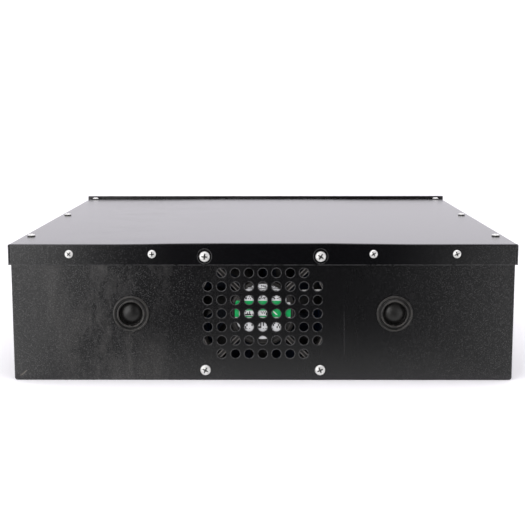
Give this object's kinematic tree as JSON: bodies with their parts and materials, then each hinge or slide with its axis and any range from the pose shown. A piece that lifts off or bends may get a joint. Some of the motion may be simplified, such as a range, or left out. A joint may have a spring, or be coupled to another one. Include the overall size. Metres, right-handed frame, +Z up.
{
  "type": "server rack battery",
  "caption": "Steel-cased rack battery with a screwed lid, rear fan grille, blind grommets, cells inside, and a front with handles, breaker, buttons, ports and terminals.",
  "frame": {"origin": "middle of the case's underside", "axes": "+Z up, -Y towards the front panel, +Y towards the rear with the fan, +X to the right as seen from the front"},
  "size_m": [0.4658, 0.5086, 0.1292],
  "materials": {
    "powder_coat": "black powder coat with a fine texture, semi-matt",
    "zinc_steel": "bright zinc plating",
    "fan_plastic": "moulded black plastic",
    "label": "white printed label with a green band",
    "lead_sleeve": "pale sleeve",
    "grommet_rubber": "black moulded rubber",
    "cell_can": "aluminium can in blue film",
    "end_plate": "plain aluminium plate",
    "link_tray": "orange moulded plastic with metal links",
    "circuit_board": "green solder mask",
    "heatsink": "plain extruded aluminium",
    "handle_metal": "black anodised",
    "breaker_plastic": "pale grey moulded plastic",
    "lever_plastic": "black moulded plastic",
    "button_steel": "turned stainless steel",
    "reset_plastic": "black moulded plastic",
    "port_plastic": "black moulded plastic",
    "light_window": "milky clear plastic",
    "positive_insulator": "red moulded plastic",
    "negative_insulator": "black moulded plastic",
    "terminal_brass": "plain turned brass"
  },
  "bodies": {
    "case": {"base_tray": "powder_coat", "bms_board": "circuit_board", "bms_heatsink": "heatsink", "breaker_body": "breaker_plastic", "cell_01": "cell_can", "cell_02": "cell_can", "cell_03": "cell_can", "cell_04": "cell_can", "cell_05": "cell_can", "cell_06": "cell_can", "cell_07": "cell_can", "cell_08": "cell_can", "cell_09": "cell_can", "cell_10": "cell_can", "cell_11": "cell_can", "cell_12": "cell_can", "cell_13": "cell_can", "cell_14": "cell_can", "cell_15": "cell_can", "cell_16": "cell_can", "comm_ports": "port_plastic", "cover_screw_left_1": "zinc_steel", "cover_screw_left_2": "zinc_steel", "cover_screw_left_3": "zinc_steel", "cover_screw_rear_1": "zinc_steel", "cover_screw_rear_2": "zinc_steel", "cover_screw_rear_3": "zinc_steel", "cover_screw_rear_4": "zinc_steel", "cover_screw_right_1": "zinc_steel", "cover_screw_right_2": "zinc_steel", "cover_screw_right_3": "zinc_steel", "end_plate_left": "end_plate", "end_plate_right": "end_plate", "fan_frame": "fan_plastic", "fan_label": "label", "fan_lead": "lead_sleeve", "fan_screw_1": "zinc_steel", "fan_screw_2": "zinc_steel", "fan_screw_3": "zinc_steel", "fan_screw_4": "zinc_steel", "front_panel": "powder_coat", "grommet_left": "grommet_rubber", "grommet_right": "grommet_rubber", "handle_left": "handle_metal", "handle_right": "handle_metal", "light_bar": "light_window", "link_tray_front": "link_tray", "link_tray_rear": "link_tray", "power_button_bezel": "button_steel", "rear_panel": "powder_coat", "stud_negative": "terminal_brass", "stud_positive": "terminal_brass", "terminal_negative": "negative_insulator", "terminal_positive": "positive_insulator", "top_cover": "powder_coat"},
    "fan_rotor": {"fan_impeller": "fan_plastic"},
    "breaker_toggle_lever": {"breaker_lever": "lever_plastic"},
    "power_button_cap": {"power_button": "button_steel"},
    "reset_button_cap": {"reset_button": "reset_plastic"}
  },
  "joints": [
    {"name": "fan_spin", "type": "hinge", "parent": "case", "child": "fan_rotor", "pos_m": [0, 0.2139, 0.062], "axis": [0, 1, 0], "continuous": true},
    {"name": "breaker_toggle", "type": "hinge", "parent": "case", "child": "breaker_toggle_lever", "pos_m": [-0.055, -0.2299, 0.0646], "axis": [-1, 0, 0], "range_deg": [0, 60]},
    {"name": "power_press", "type": "slide", "parent": "case", "child": "power_button_cap", "axis": [0, 1, 0], "range_m": [0, 0.0025], "stiffness_N_per_m": 400},
    {"name": "reset_press", "type": "slide", "parent": "case", "child": "reset_button_cap", "axis": [0, 1, 0], "range_m": [0, 0.001], "stiffness_N_per_m": 400}
  ]
}
